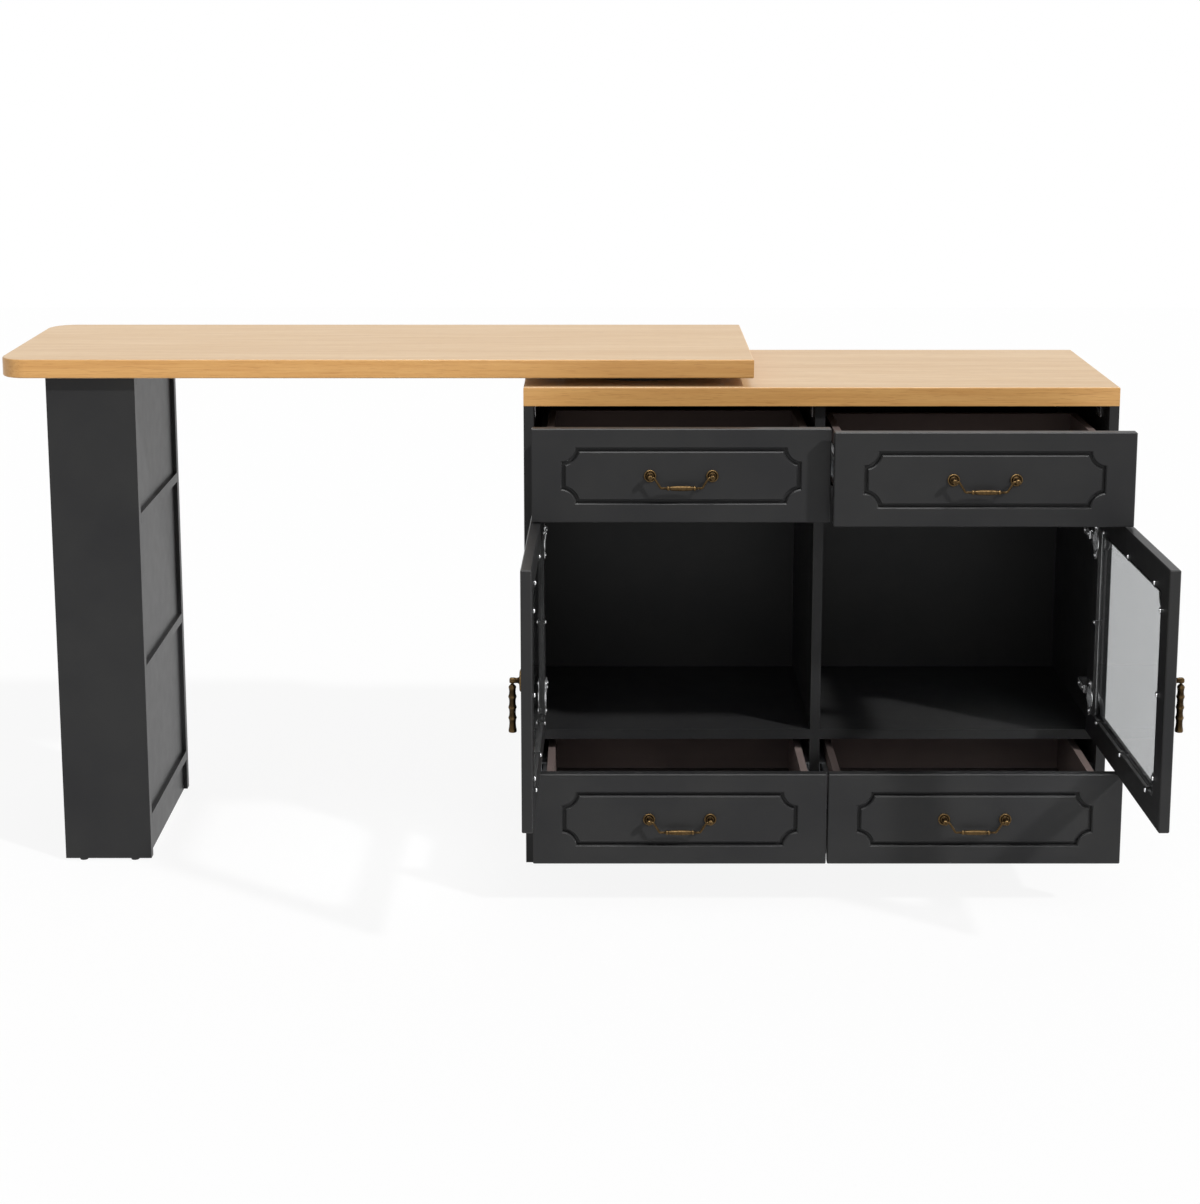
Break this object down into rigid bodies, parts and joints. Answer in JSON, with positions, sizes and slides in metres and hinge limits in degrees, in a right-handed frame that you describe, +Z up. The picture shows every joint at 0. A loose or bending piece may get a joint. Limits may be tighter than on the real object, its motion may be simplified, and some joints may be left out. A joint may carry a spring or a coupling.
{
  "type": "bar table",
  "caption": "Bar table with a drawer and glass-door cabinet and an oak top that swivels out on an open bookcase leg.",
  "frame": {"origin": "on the floor, under the middle of the table's box with drawers and doors open as pictured", "axes": "+Z up, +X to the cabinet's right end seen from the drawer side, +Y to the back"},
  "size_m": [1.8894, 0.8718, 0.89],
  "materials": {
    "charcoal_paint": "satin charcoal lacquer on MDF",
    "oak": "satin light oak veneer",
    "antique_brass": "antique bronze-brown brass, worn bright on the edges",
    "zinc_steel": "bright zinc plate",
    "grey_glass": "clear float glass, slightly grey",
    "black_steel": "black oxide",
    "black_nylon": "moulded nylon"
  },
  "bodies": {
    "cabinet": {"left_side_panel": "charcoal_paint", "right_side_panel": "charcoal_paint", "divider_shelf": "charcoal_paint", "compartment_shelf": "charcoal_paint", "bottom_board": "charcoal_paint", "kick_board": "charcoal_paint", "back_panel": "charcoal_paint", "centre_partition": "charcoal_paint", "cabinet_glides": "black_nylon", "top_brackets": "zinc_steel", "fixed_top": "oak", "pivot_bolt": "black_steel", "swivel_lower_race": "black_steel", "cabinet_runners": "zinc_steel", "runner_packers": "charcoal_paint", "hinge_arms": "zinc_steel"},
    "turning_top": {"swivel_top": "oak", "swivel_upper_race": "black_steel", "leg_front_board": "charcoal_paint", "leg_back_board": "charcoal_paint", "leg_shelves": "charcoal_paint", "leg_back_panels": "charcoal_paint", "leg_glides": "black_nylon"},
    "ball_cage": {"swivel_balls": "zinc_steel"},
    "upper_left_drawer": {"upper_left_drawer_front": "charcoal_paint", "upper_left_drawer_walls": "charcoal_paint", "upper_left_drawer_bottom": "charcoal_paint", "upper_left_drawer_runners": "zinc_steel", "upper_left_pull_posts": "antique_brass"},
    "upper_left_handle": {"upper_left_bail": "antique_brass"},
    "upper_right_drawer": {"upper_right_drawer_front": "charcoal_paint", "upper_right_drawer_walls": "charcoal_paint", "upper_right_drawer_bottom": "charcoal_paint", "upper_right_drawer_runners": "zinc_steel", "upper_right_pull_posts": "antique_brass"},
    "upper_right_handle": {"upper_right_bail": "antique_brass"},
    "lower_left_drawer": {"lower_left_drawer_front": "charcoal_paint", "lower_left_drawer_walls": "charcoal_paint", "lower_left_drawer_bottom": "charcoal_paint", "lower_left_drawer_runners": "zinc_steel", "lower_left_pull_posts": "antique_brass"},
    "lower_left_handle": {"lower_left_bail": "antique_brass"},
    "lower_right_drawer": {"lower_right_drawer_front": "charcoal_paint", "lower_right_drawer_walls": "charcoal_paint", "lower_right_drawer_bottom": "charcoal_paint", "lower_right_drawer_runners": "zinc_steel", "lower_right_pull_posts": "antique_brass"},
    "lower_right_handle": {"lower_right_bail": "antique_brass"},
    "left_door": {"left_door_frame": "charcoal_paint", "left_door_glass": "grey_glass", "left_glass_clips": "black_nylon", "left_hinge_cups": "zinc_steel", "left_pull_rosette": "antique_brass"},
    "left_drop": {"left_pull_drop": "antique_brass"},
    "right_door": {"right_door_frame": "charcoal_paint", "right_door_glass": "grey_glass", "right_glass_clips": "black_nylon", "right_hinge_cups": "zinc_steel", "right_pull_rosette": "antique_brass"},
    "right_drop": {"right_pull_drop": "antique_brass"}
  },
  "joints": [
    {"name": "top_swivel", "type": "hinge", "parent": "cabinet", "child": "turning_top", "pos_m": [0.13576, 0.23592, 0.858], "axis": [0, 0, 1], "range_deg": [-180, 90]},
    {"name": "ball_cage_turn", "type": "hinge", "parent": "cabinet", "child": "ball_cage", "pos_m": [0.13576, 0.23592, 0.858], "axis": [0, 0, 1], "range_deg": [-90, 45]},
    {"name": "upper_left_drawer_slide", "type": "slide", "parent": "cabinet", "child": "upper_left_drawer", "axis": [0, -1, 0], "range_m": [-0.178, 0.072]},
    {"name": "upper_left_handle_swing", "type": "hinge", "parent": "upper_left_drawer", "child": "upper_left_handle", "pos_m": [0.19451, -0.15708, 0.73], "axis": [-1, 0, 0], "range_deg": [-30, 80]},
    {"name": "upper_right_drawer_slide", "type": "slide", "parent": "cabinet", "child": "upper_right_drawer", "axis": [0, -1, 0], "range_m": [-0.208, 0.042]},
    {"name": "upper_right_handle_swing", "type": "hinge", "parent": "upper_right_drawer", "child": "upper_right_handle", "pos_m": [0.67702, -0.18708, 0.73], "axis": [-1, 0, 0], "range_deg": [-30, 80]},
    {"name": "lower_left_drawer_slide", "type": "slide", "parent": "cabinet", "child": "lower_left_drawer", "axis": [0, -1, 0], "range_m": [-0.207, 0.043]},
    {"name": "lower_left_handle_swing", "type": "hinge", "parent": "lower_left_drawer", "child": "lower_left_handle", "pos_m": [0.19451, -0.18608, 0.162], "axis": [-1, 0, 0], "range_deg": [-30, 80]},
    {"name": "lower_right_drawer_slide", "type": "slide", "parent": "cabinet", "child": "lower_right_drawer", "axis": [0, -1, 0], "range_m": [-0.207, 0.043]},
    {"name": "lower_right_handle_swing", "type": "hinge", "parent": "lower_right_drawer", "child": "lower_right_handle", "pos_m": [0.67702, -0.18608, 0.162], "axis": [-1, 0, 0], "range_deg": [-30, 80]},
    {"name": "left_door_swing", "type": "hinge", "parent": "cabinet", "child": "left_door", "pos_m": [-0.04143, 0.04042, 0.446], "axis": [0, 0, -1], "range_deg": [-91, 14]},
    {"name": "left_pull_swing", "type": "hinge", "parent": "left_door", "child": "left_drop", "pos_m": [-0.06781, -0.41039, 0.474], "axis": [0.0175, 0.9998, 0], "range_deg": [-4, 80]},
    {"name": "right_door_swing", "type": "hinge", "parent": "cabinet", "child": "right_door", "pos_m": [0.91297, 0.04042, 0.446], "axis": [0, 0, 1], "range_deg": [-91, 14]},
    {"name": "right_pull_swing", "type": "hinge", "parent": "right_door", "child": "right_drop", "pos_m": [0.93934, -0.41039, 0.474], "axis": [0.0175, -0.9998, 0], "range_deg": [-4, 80]}
  ],
  "couplings": [
    {"joint": "ball_cage_turn", "follows": "top_swivel", "ratio": 0.5}
  ]
}
